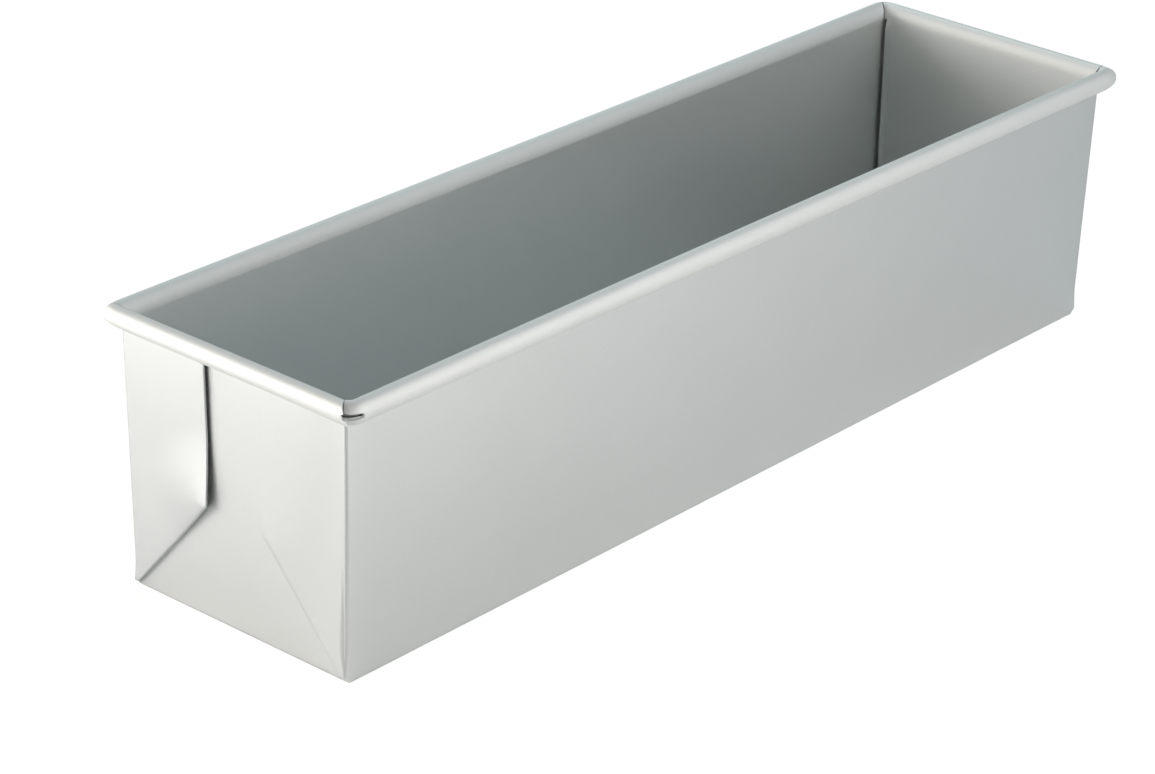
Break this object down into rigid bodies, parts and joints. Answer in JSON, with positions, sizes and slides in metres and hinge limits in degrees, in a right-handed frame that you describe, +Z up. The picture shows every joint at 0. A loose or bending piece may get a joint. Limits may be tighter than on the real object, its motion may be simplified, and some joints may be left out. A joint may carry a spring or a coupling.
{
  "type": "pullman loaf pan",
  "caption": "Long square-section loaf pan folded from satin aluminium sheet, with gusset corners folded onto its ends and a rolled, wired rim; open top, no lid.",
  "frame": {"origin": "middle of the underside of the base, on the surface that the pan stands on", "axes": "+Z up out of the mouth, +X along the pan's length, +Y across its width"},
  "size_m": [0.4196, 0.114, 0.1032],
  "materials": {
    "pan_sheet": "satin natural aluminium sheet with a fine even grain",
    "rim_wire": "plain drawn steel wire"
  },
  "bodies": {
    "root": {"pan_body": "pan_sheet", "rim_wire": "rim_wire"}
  },
  "joints": []
}
